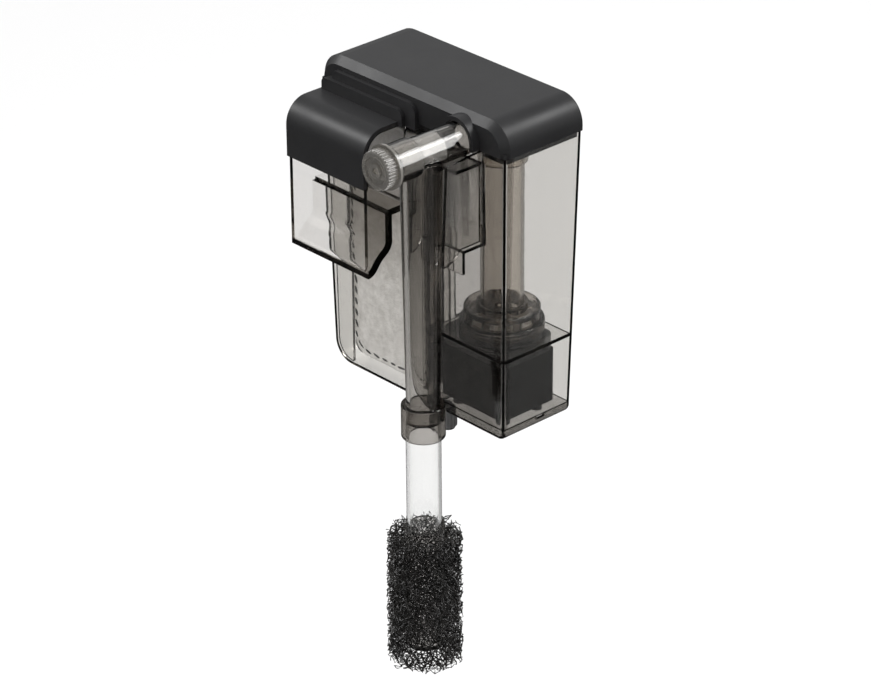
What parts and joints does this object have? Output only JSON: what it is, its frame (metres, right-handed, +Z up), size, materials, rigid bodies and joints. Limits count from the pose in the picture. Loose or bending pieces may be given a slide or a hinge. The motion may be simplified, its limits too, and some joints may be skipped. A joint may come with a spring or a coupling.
{
  "type": "hang-on-back aquarium power filter",
  "caption": "Smoke-clear aquarium filter box that hangs on a tank's rim, with a black lid, waterfall spout, clear intake pipe with flow knob, and foam pre-filter.",
  "frame": {"origin": "middle of the underside of the spout's rim saddle, where the filter rests on the glass rim", "axes": "+X along the glass towards the intake, +Y away from the tank, +Z up"},
  "size_m": [0.12, 0.0988, 0.2651],
  "materials": {
    "smoke_clear": "glossy, see-through smoke grey",
    "tube_clear": "glossy, clear",
    "knob_clear": "glossy, clear with a faint smoke tint",
    "lid_black": "satin with a fine spark texture",
    "frame_black": "matt",
    "motor_black": "matt potted block",
    "gland_grey": "matt",
    "impeller_white": "smooth",
    "foam_black": "coarse open-cell foam",
    "floss_white": "matted fibre",
    "carbon_grain": "loose grains",
    "seal_rubber": "soft, matt",
    "core_steel": "laminated",
    "coil_copper": "enamelled winding",
    "magnet_ferrite": "sintered",
    "ceramic_white": "ground"
  },
  "bodies": {
    "filter_body": {"casing": "smoke_clear", "waterfall_spout": "smoke_clear", "rim_bracket": "smoke_clear", "bottom_cover": "smoke_clear", "intake_pipe": "tube_clear", "intake_collar": "smoke_clear", "riser_elbow": "smoke_clear", "elbow_seal": "seal_rubber", "riser_tube": "smoke_clear", "motor_housing": "motor_black", "stator_core": "core_steel", "stator_coil": "coil_copper", "motor_pads": "seal_rubber", "motor_cap": "smoke_clear", "housing_seal": "seal_rubber", "impeller_housing": "smoke_clear", "impeller_cover": "smoke_clear", "rotor_shaft": "ceramic_white", "lower_bush": "seal_rubber", "upper_bush": "seal_rubber", "cord_gland": "gland_grey", "cord_grommet": "seal_rubber"},
    "lid_body": {"lid": "lid_black"},
    "cartridge": {"cartridge_frame": "frame_black", "floss_pad": "floss_white", "carbon_pack": "carbon_grain"},
    "flow_control": {"flow_knob": "knob_clear", "valve_barrel": "knob_clear", "knob_seal": "seal_rubber"},
    "rotor": {"rotor_magnet": "magnet_ferrite", "impeller": "impeller_white"},
    "extension": {"extension_tube": "tube_clear", "strainer": "tube_clear"},
    "foam_sleeve": {"foam_prefilter": "foam_black"}
  },
  "joints": [
    {"name": "lid_lift", "type": "slide", "parent": "filter_body", "child": "lid_body", "axis": [0, 0, 1], "range_m": [0, 0.15]},
    {"name": "cartridge_lift", "type": "slide", "parent": "filter_body", "child": "cartridge", "axis": [0, 0, 1], "range_m": [0, 0.132]},
    {"name": "flow_knob_turn", "type": "hinge", "parent": "filter_body", "child": "flow_control", "pos_m": [0.063, -0.043, 0.0476], "axis": [0, 1, 0], "range_deg": [0, 90]},
    {"name": "rotor_spin", "type": "hinge", "parent": "filter_body", "child": "rotor", "pos_m": [0.063, 0.0282, -0.06], "axis": [0, 0, 1], "continuous": true},
    {"name": "extension_pull", "type": "slide", "parent": "filter_body", "child": "extension", "axis": [0, 0, -1], "range_m": [0, 0.008]},
    {"name": "foam_pull", "type": "slide", "parent": "extension", "child": "foam_sleeve", "axis": [0, 0, -1], "range_m": [0, 0.064]}
  ],
  "couplings": [
    {"joint": "cartridge_lift", "follows": "lid_lift", "ratio": 0.88}
  ]
}
